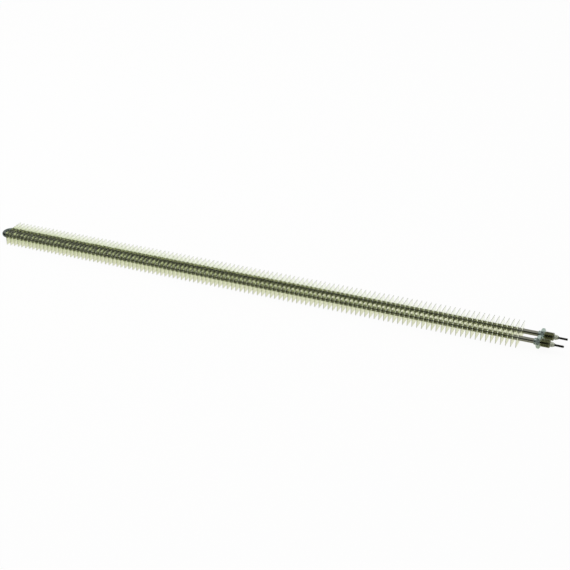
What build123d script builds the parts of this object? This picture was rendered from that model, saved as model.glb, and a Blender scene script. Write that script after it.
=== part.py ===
import os

from build123d import *

# Finned tubular heating element: one sheathed element bent into a narrow U,
# with rectangular fins pressed over both legs at once and a threaded bushing
# on each end. It lies along X on the lower edges of its fins, with the bend
# towards -X, the terminals towards +X and the two legs side by side across Y.
# The origin is under the middle of the whole element. All sizes are in mm.

# Fins
fin_count = 119
fin_pitch = 8.5
fin_width = 50.0
fin_height = 25.0
fin_thickness = 0.5
fin_bore_sides = 6
fin_bore_clearance = 0.05
fins_per_bank = 7

# Sheath tube
leg_spacing = 25.0
sheath_diameter = 8.5
sheath_wall = 0.8
bend_setback = 7.0
bare_leg = 27.0

# Threaded bushings
bushing_clearance = 0.05
neck_diameter = 11.5
neck_length = 4.5
head_across_flats = 19.0
head_thickness = 6.0
thread_diameter = 14.0
thread_length = 15.5
thread_chamfer = 1.0

# Terminals: a connection stud outside the bead and a slimmer cold pin behind it
stud_diameter = 4.0
stud_reach = 15.0
cold_pin_diameter = 3.2
cold_pin_depth = 58.0

# Ceramic beads, and the seals behind them
bead_diameter = 8.4
bead_flange = 5.0
bead_nose_diameter = 6.4
bead_nose = 2.5
bead_bore_clearance = 0.1
seal_length = 6.0

# What is sealed inside the sheath is many-sided, and is packed flat to flat
core_sides = 6
packing_clearance = 0.02

# Places along X, counted from the outside of the bend to the stud tips
finned_length = (fin_count - 1) * fin_pitch
bend_reach = bend_setback + (leg_spacing + sheath_diameter) / 2
bushing_length = neck_length + head_thickness + thread_length
bead_reach = bead_flange + bead_nose
overall_length = bend_reach + finned_length + bare_leg + bushing_length + bead_reach + stud_reach
first_fin_x = bend_reach - overall_length / 2
bend_x = first_fin_x - bend_setback
bushing_x = first_fin_x + finned_length + bare_leg
head_x = bushing_x + neck_length
thread_x = head_x + head_thickness
mouth_x = bushing_x + bushing_length
seal_x = mouth_x - seal_length
cold_pin_x = mouth_x - cold_pin_depth
stud_x = mouth_x + bead_reach

sheath_bore = sheath_diameter - 2 * sheath_wall
axis_plane = Plane.XY.offset(fin_height / 2)
legs = {"front": -leg_spacing / 2, "rear": leg_spacing / 2}


def across(x, y=0.0):
    """The plane across the element at x, facing the terminals, its own X along the row's Y."""
    return Plane(origin=(x, y, fin_height / 2), x_dir=(0, 1, 0), z_dir=(1, 0, 0))


def element_route(end_x):
    """Centre line of both legs and the bend between them, with both ends at end_x."""
    half = leg_spacing / 2
    with BuildLine(axis_plane) as route:
        outward = Line((end_x, -half), (bend_x, -half))
        bend = TangentArc(outward @ 1, (bend_x, half), tangent=outward % 1)
        Line(bend @ 1, (end_x, half))
    return route.wire()


def mouth_plane(route):
    """The plane at a route's start, square to it, its own X along the row's Y."""
    return Plane(origin=route @ 0, x_dir=(0, 1, 0), z_dir=route % 0)


def core_ring():
    """Draw a section that fills the sheath's bore round the cold pin or the coil."""
    hole = cold_pin_diameter / 2 + packing_clearance
    RegularPolygon(sheath_bore / 2 - packing_clearance, core_sides)
    RegularPolygon(hole, core_sides, major_radius=False, mode=Mode.SUBTRACT)


def finish(piece, name):
    """Name a finished piece and write its file."""
    piece.part.label = name
    export_step(piece.part, f"parts/{name}.step")


os.makedirs("parts", exist_ok=True)

# Sheath: one drawn tube, bent once, open at both mouths.
sheath_route = element_route(mouth_x)
with BuildPart() as sheath_tube:
    with BuildSketch(mouth_plane(sheath_route)):
        Circle(sheath_diameter / 2)
        RegularPolygon(sheath_bore / 2, core_sides, mode=Mode.SUBTRACT)
    sweep(path=sheath_route)
finish(sheath_tube, "sheath_tube")

# Magnesia: the packed insulation between the sheath and what carries the current.
magnesia_route = element_route(seal_x)
with BuildPart() as magnesia_filling:
    with BuildSketch(mouth_plane(magnesia_route)):
        core_ring()
    sweep(path=magnesia_route)
finish(magnesia_filling, "magnesia_filling")

# Resistance coil: the envelope of the wound wire, from one cold pin round to the other.
coil_route = element_route(cold_pin_x)
with BuildPart() as resistance_coil:
    with BuildSketch(mouth_plane(coil_route)):
        RegularPolygon(cold_pin_diameter / 2, core_sides, major_radius=False)
    sweep(path=coil_route)
finish(resistance_coil, "resistance_coil")

for side, leg_y in legs.items():
    # Bushing: one turned piece with a neck, a hexagon head and a chamfered shank, bored
    # right through for the sheath.
    with BuildPart() as threaded_bushing:
        with BuildSketch(across(bushing_x, leg_y)):
            Circle(neck_diameter / 2)
        extrude(amount=neck_length)
        with BuildSketch(across(head_x, leg_y)):
            RegularPolygon(head_across_flats / 2, 6, major_radius=False)
        extrude(amount=head_thickness)
        with BuildSketch(across(thread_x, leg_y)):
            Circle(thread_diameter / 2)
        extrude(amount=thread_length)
        chamfer(threaded_bushing.edges().group_by(Axis.X)[-1], thread_chamfer)
        with BuildSketch(across(bushing_x, leg_y)):
            Circle(sheath_diameter / 2 + bushing_clearance)
        extrude(amount=bushing_length, mode=Mode.SUBTRACT)
    finish(threaded_bushing, f"threaded_bushing_{side}")

    # Bead: a flange that covers the mouth, and a slimmer nose round the stud.
    with BuildPart() as insulator_bead:
        with BuildSketch(across(mouth_x, leg_y)):
            Circle(bead_diameter / 2)
        extrude(amount=bead_flange)
        with BuildSketch(across(mouth_x + bead_flange, leg_y)):
            Circle(bead_nose_diameter / 2)
        extrude(amount=bead_nose)
        with BuildSketch(across(mouth_x, leg_y)):
            Circle(stud_diameter / 2 + bead_bore_clearance)
        extrude(amount=bead_reach, mode=Mode.SUBTRACT)
    finish(insulator_bead, f"insulator_bead_{side}")

    # Seal: a plug of sealing compound between the magnesia and the bead.
    with BuildPart() as end_seal:
        with BuildSketch(across(seal_x, leg_y)):
            core_ring()
        extrude(amount=seal_length)
    finish(end_seal, f"end_seal_{side}")

    # Stud: one rod, stepped down outside the bead to the cold pin that runs in to the coil.
    with BuildPart() as terminal_stud:
        with BuildSketch(across(cold_pin_x, leg_y)):
            Circle(cold_pin_diameter / 2)
        extrude(amount=stud_x - cold_pin_x)
        with BuildSketch(across(stud_x, leg_y)):
            Circle(stud_diameter / 2)
        extrude(amount=stud_reach)
    finish(terminal_stud, f"terminal_stud_{side}")

# Fins: flat plates, each with two many-sided bores that grip the sheath at their flats.
# They are numbered from the bend, and each bank holds the next few of them.
bore_radius = sheath_diameter / 2 + fin_bore_clearance
for bank, first_fin in enumerate(range(0, fin_count, fins_per_bank), start=1):
    with BuildPart() as fin_bank:
        for fin in range(first_fin, min(first_fin + fins_per_bank, fin_count)):
            with BuildSketch(across(first_fin_x + fin * fin_pitch - fin_thickness / 2)):
                Rectangle(fin_width, fin_height)
                with Locations(*[(leg_y, 0) for leg_y in legs.values()]):
                    RegularPolygon(
                        bore_radius,
                        fin_bore_sides,
                        major_radius=False,
                        rotation=180 / fin_bore_sides,
                        mode=Mode.SUBTRACT,
                    )
            extrude(amount=fin_thickness)
    finish(fin_bank, f"fin_bank_{bank:02d}")
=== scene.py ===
import math

import bpy
import numpy as np
from mathutils import Matrix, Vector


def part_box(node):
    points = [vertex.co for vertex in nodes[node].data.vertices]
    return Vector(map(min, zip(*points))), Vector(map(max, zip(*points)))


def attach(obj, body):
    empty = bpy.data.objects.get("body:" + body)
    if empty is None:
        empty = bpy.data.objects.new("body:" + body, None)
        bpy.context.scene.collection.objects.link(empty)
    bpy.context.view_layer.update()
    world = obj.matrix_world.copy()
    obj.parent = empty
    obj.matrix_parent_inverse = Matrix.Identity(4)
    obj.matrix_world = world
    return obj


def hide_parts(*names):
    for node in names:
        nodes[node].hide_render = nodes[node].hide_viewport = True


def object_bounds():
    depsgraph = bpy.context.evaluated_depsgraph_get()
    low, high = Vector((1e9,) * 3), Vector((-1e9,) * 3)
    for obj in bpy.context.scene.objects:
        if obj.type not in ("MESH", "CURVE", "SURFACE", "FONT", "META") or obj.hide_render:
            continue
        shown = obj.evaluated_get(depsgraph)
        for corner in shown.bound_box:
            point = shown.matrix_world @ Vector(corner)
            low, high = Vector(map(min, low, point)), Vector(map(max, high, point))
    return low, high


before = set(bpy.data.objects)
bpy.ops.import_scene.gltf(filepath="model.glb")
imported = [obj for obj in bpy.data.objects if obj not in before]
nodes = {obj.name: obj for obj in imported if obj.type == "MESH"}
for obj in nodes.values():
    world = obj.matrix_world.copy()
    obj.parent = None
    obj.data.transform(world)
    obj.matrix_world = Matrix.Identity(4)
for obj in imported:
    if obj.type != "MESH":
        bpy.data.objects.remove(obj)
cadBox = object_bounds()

# A finned tubular heating element, lying on its fins: plated fin sheets with drawn collars,
# an annealed steel sheath bent into a U, turned bushings with cut threads, ceramic beads
# and blackened studs. Sizes in the dictionaries are millimetres and degrees.

mm = 0.001
scene = bpy.context.scene
print("frame loaded:", len(nodes), "nodes")


def linear(code):
    # sRGB hex to linear RGBA: c / 12.92 near black, otherwise ((c + 0.055) / 1.055) to the power 2.4
    parts = [int(code[i:i + 2], 16) / 255 for i in (1, 3, 5)]
    return [c / 12.92 if c <= 0.04045 else ((c + 0.055) / 1.055) ** 2.4 for c in parts] + [1.0]


def addNode(tree, kind, settings=None, inputs=None, stops=()):
    # one node: its own settings, then each input as a fixed value or a link from a socket, then the
    # two stops of a colour ramp as (position, hex colour). On a Mix node, inputs 2 and 3 and output 0
    # are its numbers, and inputs 6 and 7 and output 2 are its colours.
    made = tree.nodes.new(kind)
    for name, value in (settings or {}).items():
        setattr(made, name, value)
    for name, value in (inputs or {}).items():
        if isinstance(value, bpy.types.NodeSocket):
            tree.links.new(value, made.inputs[name])
        else:
            made.inputs[name].default_value = value
    for number, (position, code) in enumerate(stops):
        made.color_ramp.elements[number].position = position
        made.color_ramp.elements[number].color = linear(code)
    return made


def newMaterial(name):
    # an empty material, its node tree, and the Object coordinates that its patterns read
    made = bpy.data.materials.new(name)
    made.use_nodes = True
    made.node_tree.nodes.clear()
    place = addNode(made.node_tree, "ShaderNodeTexCoord").outputs["Object"]
    return made, made.node_tree, place


def placeMesh(name, points, quads, sharpDegrees, material, replaced):
    # points (n, 3) in metres and quads (m, 4), turned to face outwards if their volume is negative:
    # volume, six times over = sum over the quads a, b, c, d of a . (b x c) + a . (c x d)
    a, b, c, d = (points[quads[:, i]] for i in range(4))
    volume = (np.cross(b, c) * a).sum() + (np.cross(c, d) * a).sum()
    if volume < 0:
        quads = quads[:, ::-1]
    mesh = bpy.data.meshes.new(name)
    mesh.from_pydata(points.tolist(), [], quads.tolist())
    mesh.validate()
    mesh.shade_smooth()
    mesh.set_sharp_from_angle(angle=math.radians(sharpDegrees))
    mesh.materials.append(material)
    piece = bpy.data.objects.new(name, mesh)
    scene.collection.objects.link(piece)
    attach(piece, "root")
    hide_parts(*replaced)


def ringQuads(rows, turns):
    # quads of rows x turns points: each ring is closed on itself, and the last ring joins the first
    i, j = np.meshgrid(np.arange(rows), np.arange(turns), indexing="ij")
    nextI, nextJ = (i + 1) % rows, (j + 1) % turns
    corners = [i * turns + j, nextI * turns + j, nextI * turns + nextJ, i * turns + nextJ]
    return np.stack(corners, -1).reshape(-1, 4)


def capQuads(rows, turns):
    # as above, but the first and last rings end in flat caps: two points on the axis, numbered after
    # the rings, each joined to every second stretch of its ring as (centre, j, j + 1, j + 2)
    wall = ringQuads(rows, turns)[:(rows - 1) * turns]
    j = np.arange(0, turns, 2)
    start = np.stack([np.full_like(j, rows * turns), j, j + 1, (j + 2) % turns], -1)
    last = (rows - 1) * turns
    end = np.stack([np.full_like(j, rows * turns + 1), last + (j + 2) % turns, last + j + 1, last + j], -1)
    return np.concatenate([wall, start, end])


def turnAngles(turns):
    # equal steps from 0 to 360 degrees, in radians, without the last one
    return np.linspace(0, 2 * np.pi, turns, endpoint=False)


# sizes that several pieces share
bankNames = sorted(name for name in nodes if name.startswith("fin_bank_"))
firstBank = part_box(bankNames[0])
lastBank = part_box(bankNames[-1])
halfWidth = firstBank[1].y / mm
axisHeight = firstBank[1].z / 2 / mm
legReach = halfWidth / 2
legs = {"front": -legReach, "rear": legReach}
tubeRadius = 4.25
finThickness = 0.5
bendSetback = 7.0  # from the middle of the first fin back to the start of the bend
bendX = firstBank[0].x / mm + finThickness / 2 - bendSetback
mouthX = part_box("sheath_tube")[1].x / mm


# Sheet steel, zinc plated and passivated: a pale olive film over bright metal. It gives slightly
# cloudy reflections that turn greener each time they bounce between two fins.
platedSheet = {
    "film": [(0.36, "#F8FBEF"), (0.72, "#EEF2DF")], "cloudSize": 9.0,
    "metallic": 0.9, "roughness": (0.05, 0.13),
    # the root of each collar, in a darker olive ring
    "collarRing": "#A3A67F", "collarRingStrength": 0.2, "collarRingInner": 4.8, "collarRingOuter": 5.8,
    # the sheared edges, duller and darker than the faces
    "edge": "#6A6D60", "edgeWidth": 0.06, "edgeRoughness": 0.45,
    "grainSize": 0.5, "grainDepth": 0.002, "grainStrength": 0.35,
}


def makePlatedSheet():
    # colour = film by the clouds, then a darker olive ring near a bore, then the edge colour on the rim;
    # roughness = its range by the clouds, or that of the edge; a fine grain lifts the surface
    s = platedSheet
    material, tree, place = newMaterial("zinc plated fin sheet")
    cloud = addNode(tree, "ShaderNodeTexNoise", None,
                    {"Vector": place, "Scale": 1 / (s["cloudSize"] * mm), "Detail": 3.0, "Roughness": 0.6})
    film = addNode(tree, "ShaderNodeValToRGB", None, {"Fac": cloud.outputs["Fac"]}, s["film"])
    # distance from the nearer leg's axis: sqrt((|y| - leg)^2 + (z - height)^2)
    axes = addNode(tree, "ShaderNodeSeparateXYZ", None, {"Vector": place})
    side = addNode(tree, "ShaderNodeMath", {"operation": "ABSOLUTE"}, {0: axes.outputs["Y"]})
    offset = addNode(tree, "ShaderNodeMath", {"operation": "SUBTRACT"},
                     {0: side.outputs[0], 1: legReach * mm})
    rise = addNode(tree, "ShaderNodeMath", {"operation": "SUBTRACT"},
                   {0: axes.outputs["Z"], 1: axisHeight * mm})
    flat = addNode(tree, "ShaderNodeCombineXYZ", None, {"X": offset.outputs[0], "Y": rise.outputs[0]})
    reach = addNode(tree, "ShaderNodeVectorMath", {"operation": "LENGTH"}, {0: flat.outputs[0]})
    collar = addNode(tree, "ShaderNodeMapRange", {"interpolation_type": "SMOOTHSTEP"},
                     {"Value": reach.outputs["Value"], "From Min": s["collarRingInner"] * mm,
                      "From Max": s["collarRingOuter"] * mm, "To Min": s["collarRingStrength"], "To Max": 0.0})
    colour = addNode(tree, "ShaderNodeMix", {"data_type": "RGBA"},
                     {0: collar.outputs["Result"], 6: film.outputs["Color"], 7: linear(s["collarRing"])})
    # rim: 1 where max(|y|, |z - height| + half width - height) comes within an edge of the half width
    upright = addNode(tree, "ShaderNodeMath", {"operation": "ABSOLUTE"}, {0: rise.outputs[0]})
    upright = addNode(tree, "ShaderNodeMath", {"operation": "ADD"},
                      {0: upright.outputs[0], 1: (halfWidth - axisHeight) * mm})
    rim = addNode(tree, "ShaderNodeMath", {"operation": "MAXIMUM"},
                  {0: side.outputs[0], 1: upright.outputs[0]})
    rim = addNode(tree, "ShaderNodeMath", {"operation": "GREATER_THAN"},
                  {0: rim.outputs[0], 1: (halfWidth - s["edgeWidth"]) * mm})
    colour = addNode(tree, "ShaderNodeMix", {"data_type": "RGBA"},
                     {0: rim.outputs[0], 6: colour.outputs[2], 7: linear(s["edge"])})
    smooth, dull = s["roughness"]
    rough = addNode(tree, "ShaderNodeMapRange", None,
                    {"Value": cloud.outputs["Fac"], "To Min": smooth, "To Max": dull})
    rough = addNode(tree, "ShaderNodeMix", None,
                    {0: rim.outputs[0], 2: rough.outputs["Result"], 3: s["edgeRoughness"]})
    grain = addNode(tree, "ShaderNodeTexNoise", None,
                    {"Vector": place, "Scale": 1 / (s["grainSize"] * mm), "Detail": 2.0})
    bump = addNode(tree, "ShaderNodeBump", None,
                   {"Strength": s["grainStrength"], "Distance": s["grainDepth"] * mm,
                    "Height": grain.outputs["Fac"]})
    shade = addNode(tree, "ShaderNodeBsdfPrincipled", None,
                    {"Base Color": colour.outputs[2], "Metallic": s["metallic"],
                     "Roughness": rough.outputs[0], "Normal": bump.outputs["Normal"]})
    addNode(tree, "ShaderNodeOutputMaterial", None, {"Surface": shade.outputs["BSDF"]})
    return material


# Drawn steel tube, annealed: a dark olive scale over bright metal, bluer round the bend where it
# was heated, and a lighter, plainer grey on the bare ends past the last fin. It gives dark, cloudy
# reflections with fine lines along the tube.
annealedTube = {
    "scale": [(0.35, "#585B3E"), (0.75, "#747757")], "patchSize": 6.0, "roughness": (0.03, 0.23),
    # the bend's blue fades out from before the first fin's face to past it
    "blue": "#56605E", "blueStrength": 0.85, "blueStart": -8.0, "blueEnd": 10.0,
    # the bare ends' grey fades in from before the last fin's face to past it
    "cold": "#83837A", "coldStrength": 0.8, "coldStart": -20.0, "coldEnd": 6.0,
    "lineSize": 0.35, "lineLength": 60.0, "lineDepth": 0.005, "lineStrength": 0.4,
}


def makeAnnealedTube():
    # colour = scale by the patches, then the ends' grey and the bend's blue, each by its smooth step in x;
    # roughness = its range by the patches; noise drawn out along x lifts the surface into lines
    s = annealedTube
    material, tree, place = newMaterial("annealed steel sheath")
    patch = addNode(tree, "ShaderNodeTexNoise", None,
                    {"Vector": place, "Scale": 1 / (s["patchSize"] * mm), "Detail": 4.0, "Roughness": 0.65})
    scale = addNode(tree, "ShaderNodeValToRGB", None, {"Fac": patch.outputs["Fac"]}, s["scale"])
    axes = addNode(tree, "ShaderNodeSeparateXYZ", None, {"Vector": place})
    heat = addNode(tree, "ShaderNodeMapRange", {"interpolation_type": "SMOOTHSTEP"},
                   {"Value": axes.outputs["X"], "From Min": firstBank[0].x + s["blueStart"] * mm,
                    "From Max": firstBank[0].x + s["blueEnd"] * mm, "To Min": s["blueStrength"],
                    "To Max": 0.0})
    end = addNode(tree, "ShaderNodeMapRange", {"interpolation_type": "SMOOTHSTEP"},
                  {"Value": axes.outputs["X"], "From Min": lastBank[1].x + s["coldStart"] * mm,
                   "From Max": lastBank[1].x + s["coldEnd"] * mm, "To Max": s["coldStrength"]})
    colour = addNode(tree, "ShaderNodeMix", {"data_type": "RGBA"},
                     {0: end.outputs["Result"], 6: scale.outputs["Color"], 7: linear(s["cold"])})
    colour = addNode(tree, "ShaderNodeMix", {"data_type": "RGBA"},
                     {0: heat.outputs["Result"], 6: colour.outputs[2], 7: linear(s["blue"])})
    smooth, dull = s["roughness"]
    rough = addNode(tree, "ShaderNodeMapRange", None,
                    {"Value": patch.outputs["Fac"], "To Min": smooth, "To Max": dull})
    stretch = addNode(tree, "ShaderNodeMapping", None,
                      {"Vector": place, "Scale": (s["lineSize"] / s["lineLength"], 1.0, 1.0)})
    lines = addNode(tree, "ShaderNodeTexNoise", None,
                    {"Vector": stretch.outputs["Vector"], "Scale": 1 / (s["lineSize"] * mm), "Detail": 2.0})
    bump = addNode(tree, "ShaderNodeBump", None,
                   {"Strength": s["lineStrength"], "Distance": s["lineDepth"] * mm,
                    "Height": lines.outputs["Fac"]})
    shade = addNode(tree, "ShaderNodeBsdfPrincipled", None,
                    {"Base Color": colour.outputs[2], "Metallic": 1.0, "Roughness": rough.outputs["Result"],
                     "Normal": bump.outputs["Normal"]})
    addNode(tree, "ShaderNodeOutputMaterial", None, {"Surface": shade.outputs["BSDF"]})
    return material


# Turned steel, zinc plated: a bluish grey hexagon head, a darker neck, and a shank whose plating is
# thinner and yellower. Neck and head are duller than the shank. The tool left rings round it, so
# highlights break up into bands.
turnedZinc = {
    "neck": "#86938E", "neckEnd": 4.6, "head": "#BCCDC6", "headEnd": 10.8, "shank": "#74775A",
    "headMetallic": 0.75, "headRoughness": 0.28, "shankRoughness": 0.08, "roughnessSpread": 0.16,
    "dirt": "#A9A890", "dirtStrength": 0.45, "dirtRange": (0.3, 0.8), "patchSize": 3.0,
    # real tool rings are about 0.2 mm apart, too fine to show, so these are drawn coarser
    "ringPitch": 1.57, "ringWander": 0.6, "ringDepth": 0.01, "ringStrength": 0.3,
}


def makeTurnedZinc():
    # colour = neck, head or shank by x, times the dirt where the patches are strong;
    # roughness = patches * spread + that of the head or of the shank; a wave along x makes the rings
    s = turnedZinc
    material, tree, place = newMaterial("zinc plated turned steel")
    patch = addNode(tree, "ShaderNodeTexNoise", None,
                    {"Vector": place, "Scale": 1 / (s["patchSize"] * mm), "Detail": 3.0})
    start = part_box("threaded_bushing_front")[0].x
    axes = addNode(tree, "ShaderNodeSeparateXYZ", None, {"Vector": place})
    beyondNeck = addNode(tree, "ShaderNodeMath", {"operation": "GREATER_THAN"},
                         {0: axes.outputs["X"], 1: start + s["neckEnd"] * mm})
    beyondHead = addNode(tree, "ShaderNodeMath", {"operation": "GREATER_THAN"},
                         {0: axes.outputs["X"], 1: start + s["headEnd"] * mm})
    blend = addNode(tree, "ShaderNodeMix", {"data_type": "RGBA"},
                    {0: beyondNeck.outputs[0], 6: linear(s["neck"]), 7: linear(s["head"])})
    blend = addNode(tree, "ShaderNodeMix", {"data_type": "RGBA"},
                    {0: beyondHead.outputs[0], 6: blend.outputs[2], 7: linear(s["shank"])})
    clean, dirty = s["dirtRange"]
    dirt = addNode(tree, "ShaderNodeMapRange", None,
                   {"Value": patch.outputs["Fac"], "From Min": clean, "From Max": dirty,
                    "To Max": s["dirtStrength"]})
    colour = addNode(tree, "ShaderNodeMix", {"data_type": "RGBA", "blend_type": "MULTIPLY"},
                     {0: dirt.outputs["Result"], 6: blend.outputs[2], 7: linear(s["dirt"])})
    metal = addNode(tree, "ShaderNodeMix", None, {0: beyondHead.outputs[0], 2: s["headMetallic"], 3: 1.0})
    rough = addNode(tree, "ShaderNodeMix", None,
                    {0: beyondHead.outputs[0], 2: s["headRoughness"], 3: s["shankRoughness"]})
    rough = addNode(tree, "ShaderNodeMath", {"operation": "MULTIPLY_ADD"},
                    {0: patch.outputs["Fac"], 1: s["roughnessSpread"], 2: rough.outputs[0]})
    # at scale 1 a wave texture repeats every 2 pi / 20
    rings = addNode(tree, "ShaderNodeTexWave",
                    {"wave_type": "BANDS", "bands_direction": "X", "wave_profile": "SIN"},
                    {"Vector": place, "Scale": 2 * math.pi / 20 / (s["ringPitch"] * mm),
                     "Distortion": s["ringWander"]})
    bump = addNode(tree, "ShaderNodeBump", None,
                   {"Strength": s["ringStrength"], "Distance": s["ringDepth"] * mm,
                    "Height": rings.outputs["Fac"]})
    shade = addNode(tree, "ShaderNodeBsdfPrincipled", None,
                    {"Base Color": colour.outputs[2], "Metallic": metal.outputs[0],
                     "Roughness": rough.outputs[0], "Normal": bump.outputs["Normal"]})
    addNode(tree, "ShaderNodeOutputMaterial", None, {"Surface": shade.outputs["BSDF"]})
    return material


# Every other finish is two colours broken up by one noise, with roughness and bump from it.
plainStops = (0.35, 0.65)
plainBump = 0.4
plainFinishes = {
    # steatite, pressed and fired without glaze: a warm off-white with fine pores
    "steatite bead": {"colours": ("#A9AE96", "#CDD2BE"), "size": 1.2, "metallic": 0.0, "ior": 1.6,
                      "roughness": (0.34, 0.52), "depth": 0.02},
    # mild steel, blackened: almost no colour, a dull sheen on the crests
    "blackened stud steel": {"colours": ("#2B2B29", "#4B4B48"), "size": 0.8, "metallic": 1.0,
                             "roughness": (0.28, 0.46), "depth": 0.01},
    # silicone, cured in place: matte and slightly uneven
    "cured silicone": {"colours": ("#857A6C", "#9A8F80"), "size": 1.5, "metallic": 0.0, "ior": 1.41,
                       "roughness": (0.52, 0.7), "depth": 0.03},
    # magnesia, packed powder: chalky
    "packed magnesia": {"colours": ("#CBC8BC", "#E3E1D8"), "size": 0.6, "metallic": 0.0, "ior": 1.6,
                        "roughness": (0.82, 1.0), "depth": 0.05},
    # nickel chrome wire, drawn and close wound: a dull brownish grey
    "drawn resistance wire": {"colours": ("#6F6A62", "#9B958B"), "size": 0.5, "metallic": 1.0,
                              "roughness": (0.32, 0.5), "depth": 0.05},
}


def makePlainFinish(name):
    # colour, roughness and height all follow the same patches
    s = plainFinishes[name]
    material, tree, place = newMaterial(name)
    patch = addNode(tree, "ShaderNodeTexNoise", None,
                    {"Vector": place, "Scale": 1 / (s["size"] * mm), "Detail": 4.0, "Roughness": 0.6})
    colour = addNode(tree, "ShaderNodeValToRGB", None, {"Fac": patch.outputs["Fac"]},
                     zip(plainStops, s["colours"]))
    smooth, dull = s["roughness"]
    rough = addNode(tree, "ShaderNodeMapRange", None,
                    {"Value": patch.outputs["Fac"], "To Min": smooth, "To Max": dull})
    bump = addNode(tree, "ShaderNodeBump", None,
                   {"Strength": plainBump, "Distance": s["depth"] * mm, "Height": patch.outputs["Fac"]})
    shade = addNode(tree, "ShaderNodeBsdfPrincipled", None,
                    {"Base Color": colour.outputs["Color"], "Metallic": s["metallic"],
                     "Roughness": rough.outputs["Result"], "Normal": bump.outputs["Normal"]})
    if "ior" in s:
        shade.inputs["IOR"].default_value = s["ior"]
    addNode(tree, "ShaderNodeOutputMaterial", None, {"Surface": shade.outputs["BSDF"]})
    return material


finSteel = makePlatedSheet()
tubeSteel = makeAnnealedTube()
bushingSteel = makeTurnedZinc()
plain = {name: makePlainFinish(name) for name in plainFinishes}
print("materials made")


# Fins: oblong sheets, each made as two square halves, and each half is drawn up into a collar round
# its leg of the tube.
fin = {
    "perBank": 7, "lean": 0.18, "seed": 11, "turns": 16, "sharpDegrees": 35,
    "boreGap": 0.06, "collarHeight": 1.2, "collarWall": 0.35,
    # rootBow, the root's one point between collar and face, and backRound are parts of rootRadius
    "rootRadius": 0.6, "rootBow": (0.15, 0.5), "backRound": 0.6,
}


def finOutline(halfSize, turns):
    # unit circle (cos a, sin a), and the square about it, (cos a, sin a) / max(|cos a|, |sin a|) * half size
    angle = turnAngles(turns)
    circle = np.stack([np.cos(angle), np.sin(angle)], -1)
    square = circle / np.abs(circle).max(1, keepdims=True) * halfSize
    return circle, square


def finHalf():
    # one half of a fin round one bore: a profile of (radius, x) carried round the bore, whose
    # middle two rings lie on the square edge instead of a circle
    s = fin
    bore = (tubeRadius + s["boreGap"]) / math.cos(math.pi / s["turns"])
    face, root = finThickness / 2, s["rootRadius"]
    wall = bore + s["collarWall"]
    bowOut, bowUp = s["rootBow"]
    inner = [(bore, s["collarHeight"]), (wall, s["collarHeight"]),
             (wall + bowOut * root, face + bowUp * root), (wall + root, face)]
    outer = [(bore + s["backRound"] * root, -face), (bore, face)]
    circle, square = finOutline(legReach, s["turns"])
    rings = [np.c_[circle * r, np.full(s["turns"], x)] for r, x in inner]
    rings += [np.c_[square, np.full(s["turns"], x)] for x in (face, -face)]
    rings += [np.c_[circle * r, np.full(s["turns"], x)] for r, x in outer]
    return np.array(rings)


def wholeFin():
    # two halves side by side: point = (x, leg + u, height + v). Where their square edges meet, on y = 0,
    # the points are shared and the wall between them is left out
    rings = finHalf()
    rows, turns = rings.shape[:2]
    half = rows * turns
    u, v, x = rings.reshape(-1, 3).T
    points = np.concatenate([np.stack([x, y + u, axisHeight + v], -1) for y in legs.values()])
    base = ringQuads(rows, turns)
    quads = np.concatenate([base, base + half])
    middle = np.isclose(points[:, 1], 0, atol=1e-6)
    quads = quads[~middle[quads].all(1)]
    # points of the second half on the middle line take the number of their twin in the first, which is
    # found by sorting both on x and z in whole micrometres
    first = np.nonzero(middle[:half])[0]
    second = np.nonzero(middle[half:])[0] + half
    key = np.round(points[:, [0, 2]] * 1000).astype(int)
    renumber = np.arange(len(points))
    renumber[second[np.lexsort(key[second].T)]] = first[np.lexsort(key[first].T)]
    kept, packed = np.unique(renumber[quads], return_inverse=True)
    return points[kept], packed.reshape(-1, 4)


finPoints, finQuads = wholeFin()
leanSource = np.random.default_rng(fin["seed"])


def bankSurface(low, high):
    # equally spaced fins that stand almost upright:
    # x = place + lean across * y / half width + lean up * (z - height) / height
    count = fin["perBank"]
    places = np.linspace(low.x / mm + finThickness / 2, high.x / mm - finThickness / 2, count)
    lean = leanSource.uniform(-1, 1, (count, 2)) * fin["lean"]
    across = finPoints[:, 1] / halfWidth
    upward = (finPoints[:, 2] - axisHeight) / axisHeight
    copies = np.repeat(finPoints[None], count, 0)
    copies[:, :, 0] += places[:, None] + lean[:, :1] * across + lean[:, 1:] * upward
    quads = finQuads[None] + len(finPoints) * np.arange(count)[:, None, None]
    return copies.reshape(-1, 3), quads.reshape(-1, 4)


for number, name in enumerate(bankNames, 1):
    points, quads = bankSurface(*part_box(name))
    placeMesh(f"finBank{number:02d}", points * mm, quads, fin["sharpDegrees"], finSteel, [name])
print("fins made:", len(bankNames) * fin["perBank"], "with", len(finQuads), "faces each")


# Sheath: one tube bent into a U, flattened a little round the bend and open at both mouths.
sheath = {"wall": 0.8, "rim": 0.25, "flatten": 0.035, "around": 48, "bendSteps": 64, "legSteps": 6,
          "sharpDegrees": 40}


def sheathPath():
    # centre line: front leg, half circle, rear leg; returns x and y, the sideways direction
    # (-sin h, -cos h) of the heading h, and how far into the bend each point is, sin(h)^2
    s = sheath
    run = np.linspace(mouthX, bendX, s["legSteps"], endpoint=False)
    turn = np.linspace(0, np.pi, s["bendSteps"] + 1)
    x = np.concatenate([run, bendX - legReach * np.sin(turn), run[::-1]])
    y = np.concatenate([np.full(len(run), -legReach), -legReach * np.cos(turn), np.full(len(run), legReach)])
    heading = np.concatenate([np.zeros(len(run)), turn, np.full(len(run), np.pi)])
    side = np.stack([-np.sin(heading), -np.cos(heading)], -1)
    return x, y, side, np.sin(heading) ** 2


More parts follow.
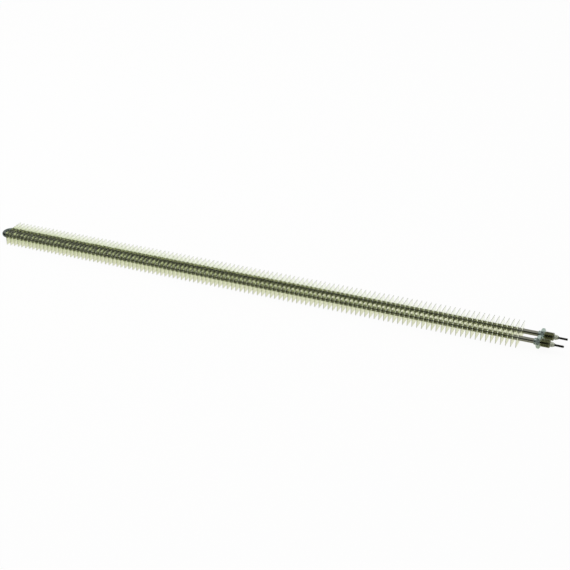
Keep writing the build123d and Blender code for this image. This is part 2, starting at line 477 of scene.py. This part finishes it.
def sheathSurface():
    # rings: centre + r (1 - f) cos a sideways + r (1 + f / 2) sin a upwards, where f flattens the bend;
    # they run along the outside, over the chamfered rim and back along the bore
    s = sheath
    x, y, side, bent = sheathPath()
    angle = turnAngles(s["around"])
    last = len(x) - 1
    order = np.concatenate([[0], np.arange(last + 1), [last], np.arange(last, -1, -1)])
    rim, bore = tubeRadius - s["rim"], tubeRadius - s["wall"]
    radius = np.repeat([rim, tubeRadius, rim, bore], [1, last + 1, 1, last + 1])[:, None]
    shift = np.zeros(len(order))
    shift[[1, last + 1]] = -s["rim"]  # the outside stops short of both mouths by the chamfer
    squash = s["flatten"] * bent[order][:, None]
    sideways = radius * (1 - squash) * np.cos(angle)
    upward = radius * (1 + squash / 2) * np.sin(angle)
    px = (x[order] + shift)[:, None] + side[order][:, :1] * sideways
    py = y[order][:, None] + side[order][:, 1:] * sideways
    points = np.stack([px, py, axisHeight + upward], -1)
    return points.reshape(-1, 3), ringQuads(len(order), s["around"])


points, quads = sheathSurface()
placeMesh("sheathTube", points * mm, quads, sheath["sharpDegrees"], tubeSteel,
          ["sheath_tube"])
print("sheath made")


def roundLeg(rows, turns, startX, legY):
    # a turned body about one leg, from rows of (x, radius), where a radius is one number or one for each
    # angle a: point = (start + x, leg + r cos a, height + r sin a)
    along = startX + np.array([x for x, _ in rows])
    radius = np.concatenate([np.broadcast_to(r, (1, turns)) for _, r in rows])
    angle = turnAngles(turns)
    x = np.broadcast_to(along[:, None], radius.shape)
    points = np.stack([x, legY + radius * np.cos(angle), axisHeight + radius * np.sin(angle)], -1)
    return points.reshape(-1, 3)


def roundedEdge(x, radius, size, rising):
    # six rows of a quarter circle, from a face at x up to the radius, or down again to a face at x:
    # (x + size (1 - cos a), radius - size (1 - sin a)), or the same backwards with x - size (1 - cos a)
    a = np.linspace(0, np.pi / 2, 6)
    if rising:
        return list(zip(x + size * (1 - np.cos(a)), radius - size * (1 - np.sin(a))))
    return list(zip(x - size * (1 - np.cos(a[::-1])), radius - size * (1 - np.sin(a[::-1]))))


def threadDip(along, angle, pitch):
    # 0 on a crest and 1 in a root of a helix, u = along / pitch - angle / 360: a triangle wave cut off
    # to a flat of an eighth of the pitch on the crest and of a quarter in the root
    crest, root = 1 / 8, 1 / 4
    wave = np.abs(2 * ((along / pitch - angle / (2 * np.pi)) % 1) - 1)
    return np.clip((1 - crest - wave) / (1 - crest - root), 0, 1)


# Bushings: neck, hexagon, relief groove and a cut thread, bored through for the tube.
bushing = {
    "neckRadius": 5.75, "neckLength": 4.5, "neckRound": 0.7, "fillet": 0.4,
    "headLength": 6.0, "headFace": 9.0, "chamferDegrees": 30, "chamferSteps": 9,
    "relief": 1.6, "reliefRadius": 6.1, "reliefRound": 0.3,
    "threadRadius": 7.0, "threadPitch": 1.5, "threadDepth": 0.92, "leadSlope": 2.0, "endChamfer": 1.0,
    "boreGap": 0.05, "boreEdge": 0.2, "turns": 96, "stepsPerPitch": 8, "sharpDegrees": 30,
}


def bushingSurface(low, high, legY):
    # outside: neck, hexagon cut by two cones, relief, helix; then back through the bore.
    # hexagon radius = flat / cos(angle from the nearest flat's middle), with a flat above and below
    s = bushing
    total = (high.x - low.x) / mm
    flat = (high.z - low.z) / 2 / mm
    bore = tubeRadius + s["boreGap"]
    headStart = s["neckLength"]
    headEnd = headStart + s["headLength"]
    threadStart = headEnd + s["relief"]
    fillet, neck, relief = s["fillet"], s["neckRadius"], s["reliefRadius"]
    rows = [(0.0, bore + s["boreEdge"])]
    rows += roundedEdge(0.0, neck, s["neckRound"], True)
    rows += [(headStart - fillet, neck), (headStart - fillet / 4, neck + fillet / 4),
             (headStart, neck + fillet)]
    angle = turnAngles(s["turns"])
    hexagon = flat / np.cos(angle % (np.pi / 3) - np.pi / 6)
    slope = 1 / math.tan(math.radians(s["chamferDegrees"]))
    chamfer = (flat / math.cos(math.pi / 6) - s["headFace"]) / slope
    steps = np.linspace(0, chamfer, s["chamferSteps"])
    for x in np.concatenate([steps, s["headLength"] - steps[::-1]]):
        cone = s["headFace"] + min(x, s["headLength"] - x) * slope
        rows.append((headStart + x, np.minimum(hexagon, cone)))
    rows += [(headEnd, relief + s["reliefRound"]), (headEnd + s["reliefRound"], relief),
             (threadStart - s["reliefRound"], relief)]
    crest, endRadius = s["threadRadius"], s["threadRadius"] - s["endChamfer"]
    for x in np.arange(threadStart, total, s["threadPitch"] / s["stepsPerPitch"]):
        helix = crest - s["threadDepth"] * threadDip(x, angle, s["threadPitch"])
        lead = relief + (x - threadStart) * s["leadSlope"]
        rows.append((x, np.minimum(helix, min(lead, endRadius + total - x))))
    rows += [(total, endRadius), (total, bore + s["boreEdge"]), (total - s["boreEdge"], bore),
             (s["boreEdge"], bore)]
    return roundLeg(rows, s["turns"], low.x / mm, legY), ringQuads(len(rows), s["turns"])


# Beads: a flange on the mouth of the bushing and a slimmer nose round the stud.
bead = {"flange": 5.0, "mouthEdge": 0.3, "flangeEdge": 0.84, "noseRadius": 3.2, "noseRound": 0.3,
        "noseEdge": 0.6, "boreRadius": 2.1, "boreEdge": 0.2, "turns": 64, "sharpDegrees": 40}


def beadSurface(low, high, legY):
    # outside: flange with both edges rounded, hollow step, nose rounded at its end; then the bore
    s = bead
    length = (high.x - low.x) / mm
    wide = (high.z - low.z) / 2 / mm
    bore, nose = s["boreRadius"], s["noseRadius"]
    rows = [(0.0, bore + s["boreEdge"])]
    rows += roundedEdge(0.0, wide, s["mouthEdge"], True)
    rows += roundedEdge(s["flange"], wide, s["flangeEdge"], False)
    rows += [(s["flange"], nose + s["noseRound"]), (s["flange"] + s["noseRound"], nose)]
    rows += roundedEdge(length, nose, s["noseEdge"], False)
    rows += [(length, bore + s["boreEdge"]), (length - s["boreEdge"], bore), (s["boreEdge"], bore)]
    return roundLeg(rows, s["turns"], low.x / mm, legY), ringQuads(len(rows), s["turns"])


# Studs: a slim pin inside the sheath, a shoulder, and a thread up to a chamfered tip.
stud = {"reach": 15.0, "pinRadius": 1.6, "shoulder": 0.3, "threadStart": 0.8, "threadPitch": 0.7,
        "threadDepth": 0.43, "tip": 0.6, "tipGap": 0.01, "turns": 32, "stepsPerPitch": 8,
        "sharpDegrees": 30}


def studSurface(low, high, legY):
    # pin, shoulder, helix cut by the tip's cone, and a flat cap at both ends;
    # the steps of the helix stop a hair before the cap, so that no two rings coincide
    s = stud
    length = (high.x - low.x) / mm
    wide = (high.z - low.z) / 2 / mm
    start = length - s["reach"]
    angle = turnAngles(s["turns"])
    rows = [(0.0, s["pinRadius"]), (start, s["pinRadius"]), (start, wide - s["shoulder"]),
            (start + s["shoulder"], wide)]
    for x in np.arange(start + s["threadStart"], length - s["tipGap"], s["threadPitch"] / s["stepsPerPitch"]):
        helix = wide - s["threadDepth"] * threadDip(x, angle, s["threadPitch"])
        rows.append((x, np.minimum(helix, wide - s["tip"] + length - x)))
    rows.append((length, wide - s["tip"]))
    points = roundLeg(rows, s["turns"], low.x / mm, legY)
    centres = [(low.x / mm, legY, axisHeight), (high.x / mm, legY, axisHeight)]
    return np.concatenate([points, centres]), capQuads(len(rows), s["turns"])


endPieces = [
    ("threaded_bushing", "Bushing", bushingSurface, bushing, bushingSteel, "bushing_steel"),
    ("insulator_bead", "Bead", beadSurface, bead, plain["steatite bead"], "bead_ceramic"),
    ("terminal_stud", "Stud", studSurface, stud, plain["blackened stud steel"], "stud_steel"),
]
for side, legY in legs.items():
    for node, word, surface, settings, material, slotName in endPieces:
        low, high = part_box(f"{node}_{side}")
        points, quads = surface(low, high, legY)
        placeMesh(f"{side}{word}", points * mm, quads, settings["sharpDegrees"], material,
                  [f"{node}_{side}"])
print("ends made")

# the sealed pieces keep their solids and get their own finish
sealedFinishes = {
    "magnesia_filling": "packed magnesia", "resistance_coil": "drawn resistance wire",
    "end_seal_front": "cured silicone", "end_seal_rear": "cured silicone",
}
for name, finish in sealedFinishes.items():
    mesh = nodes[name].data
    mesh.materials.clear()
    mesh.materials.append(plain[finish])


# Studio: a white sweep, a room that is dark in front, pale behind and white overhead, and one large
# soft lamp. The room's heights and sides are parts of the view direction, from -1 to 1.
studio = {
    # shade is a painted shadow: the greyer, green-yellow glow that metal mirrors of the paper under the part
    "floorSize": 12000.0, "floor": "#F4F4F2", "ownWhite": 0.94, "shade": "#E9E9D5", "shadeReach": 25.0,
    "front": "#141513", "back": "#E2E3E0", "frontEnd": -0.1, "backStart": 0.6,
    "zenith": "#FFFFFF", "wallTop": 0.55, "ceiling": 0.85, "worldStrength": 1.0,
    "lampPower": 19.0, "lampSize": 1600.0, "lampPlace": (-1250.0, 250.0, 2200.0),
}
white = (1.0, 1.0, 1.0, 1.0)


def makeFloor():
    # a white sweep: part of it is plain paint that takes the shadow, and the rest shines at
    # whoever looks at it, straight or in a reflection: white, except that reflections under the part and
    # close beside it see a painted shadow. The share that shines = own white * max(camera ray, glossy
    # ray, transmission ray)
    s = studio
    material, tree, place = newMaterial("studio paper")
    paint = addNode(tree, "ShaderNodeBsdfDiffuse", None, {"Color": linear(s["floor"])})
    ray = addNode(tree, "ShaderNodeLightPath")
    mirrored = addNode(tree, "ShaderNodeMath", {"operation": "MAXIMUM"},
                       {0: ray.outputs["Is Glossy Ray"], 1: ray.outputs["Is Transmission Ray"]})
    seen = addNode(tree, "ShaderNodeMath", {"operation": "MAXIMUM"},
                   {0: ray.outputs["Is Camera Ray"], 1: mirrored.outputs[0]})
    # beside the part metal mirrors white paper, and under it, out to the shade reach, a painted shadow:
    # reflections there see the glow in the shade colour, greyer and tinted green-yellow as paper shaded by
    # the part and lit by light bounced off the fins. The shadow fades with the distance from the box of
    # the part = length of (max(|x| - half length, 0), max(|y| - half width, 0))
    aside = addNode(tree, "ShaderNodeVectorMath", {"operation": "ABSOLUTE"}, {0: place})
    aside = addNode(tree, "ShaderNodeVectorMath", {"operation": "SUBTRACT"},
                    {0: aside.outputs[0], 1: (cadBox[1][0], halfWidth * mm, 0)})
    aside = addNode(tree, "ShaderNodeVectorMath", {"operation": "MAXIMUM"},
                    {0: aside.outputs[0], 1: (0, 0, 0)})
    aside = addNode(tree, "ShaderNodeVectorMath", {"operation": "LENGTH"}, {0: aside.outputs[0]})
    clear = addNode(tree, "ShaderNodeMapRange", {"interpolation_type": "SMOOTHSTEP"},
                    {"Value": aside.outputs["Value"], "From Max": s["shadeReach"] * mm})
    full = addNode(tree, "ShaderNodeMath", {"operation": "MAXIMUM"},
                   {0: ray.outputs["Is Camera Ray"], 1: clear.outputs["Result"]})
    colour = addNode(tree, "ShaderNodeMix", {"data_type": "RGBA"},
                     {0: full.outputs[0], 6: linear(s["shade"]), 7: white})
    glow = addNode(tree, "ShaderNodeEmission", None, {"Color": colour.outputs[2], "Strength": 1.0})
    share = addNode(tree, "ShaderNodeMath", {"operation": "MULTIPLY"},
                    {0: seen.outputs[0], 1: s["ownWhite"]})
    mix = addNode(tree, "ShaderNodeMixShader", None,
                  {0: share.outputs[0], 1: paint.outputs["BSDF"], 2: glow.outputs["Emission"]})
    addNode(tree, "ShaderNodeOutputMaterial", None, {"Surface": mix.outputs["Shader"]})
    half = s["floorSize"] / 2 * mm
    corners = [(-half, -half, 0), (half, -half, 0), (half, half, 0), (-half, half, 0)]
    mesh = bpy.data.meshes.new("floor")
    mesh.from_pydata(corners, [], [(0, 1, 2, 3)])
    mesh.materials.append(material)
    floor = bpy.data.objects.new("floor", mesh)
    scene.collection.objects.link(floor)


def makeWorld():
    # the wall goes smoothly from the front's colour to the back's by y, and to the zenith's by z;
    # looked at straight, the room is white
    s = studio
    world = bpy.data.worlds.new("soft room")
    world.use_nodes = True
    tree = world.node_tree
    tree.nodes.clear()
    direction = addNode(tree, "ShaderNodeTexCoord").outputs["Generated"]
    axes = addNode(tree, "ShaderNodeSeparateXYZ", None, {"Vector": direction})
    behind = addNode(tree, "ShaderNodeMapRange", {"interpolation_type": "SMOOTHSTEP"},
                     {"Value": axes.outputs["Y"], "From Min": s["frontEnd"], "From Max": s["backStart"]})
    wall = addNode(tree, "ShaderNodeMix", {"data_type": "RGBA"},
                   {0: behind.outputs["Result"], 6: linear(s["front"]), 7: linear(s["back"])})
    height = addNode(tree, "ShaderNodeMapRange", {"interpolation_type": "SMOOTHSTEP"},
                     {"Value": axes.outputs["Z"], "From Min": s["wallTop"], "From Max": s["ceiling"]})
    colour = addNode(tree, "ShaderNodeMix", {"data_type": "RGBA"},
                     {0: height.outputs["Result"], 6: wall.outputs[2], 7: linear(s["zenith"])})
    ray = addNode(tree, "ShaderNodeLightPath")
    seen = addNode(tree, "ShaderNodeMix", {"data_type": "RGBA"},
                   {0: ray.outputs["Is Camera Ray"], 6: colour.outputs[2], 7: white})
    sky = addNode(tree, "ShaderNodeBackground", None,
                  {"Color": seen.outputs[2], "Strength": s["worldStrength"]})
    addNode(tree, "ShaderNodeOutputWorld", None, {"Surface": sky.outputs["Background"]})
    scene.world = world


def makeLamp():
    # a square soft box, aimed from its place at the middle of the part
    s = studio
    lamp = bpy.data.lights.new("soft box", "AREA")
    lamp.shape = "SQUARE"
    lamp.size = s["lampSize"] * mm
    lamp.energy = s["lampPower"]
    holder = bpy.data.objects.new("soft box", lamp)
    holder.location = [v * mm for v in s["lampPlace"]]
    holder.rotation_euler = (-holder.location).to_track_quat("-Z", "Y").to_euler()
    scene.collection.objects.link(holder)


view = {"place": (919.75, -1808.36, 1072.91), "azimuth": 25.6541, "elevation": 27.7541, "roll": -1.3899,
        "lens": 81.334, "sensor": 36.0}


def makeCamera():
    # turned by the azimuth about Z, tipped by 90 - elevation about X, then rolled about its own axis;
    # it sees from 50 mm to 50 m away
    s = view
    camera = bpy.data.cameras.new("camera")
    camera.lens = s["lens"]
    camera.sensor_width = s["sensor"]
    camera.clip_start = 50 * mm
    camera.clip_end = 50000 * mm
    holder = bpy.data.objects.new("camera", camera)
    holder.location = [v * mm for v in s["place"]]
    turn = Matrix.Rotation(math.radians(s["azimuth"]), 4, "Z")
    tilt = Matrix.Rotation(math.radians(90 - s["elevation"]), 4, "X")
    roll = Matrix.Rotation(math.radians(s["roll"]), 4, "Z")
    holder.rotation_euler = (turn @ tilt @ roll).to_euler()
    scene.collection.objects.link(holder)
    scene.camera = holder


makeFloor()
makeWorld()
makeLamp()
makeCamera()
scene.view_settings.view_transform = "Standard"
print("studio made")
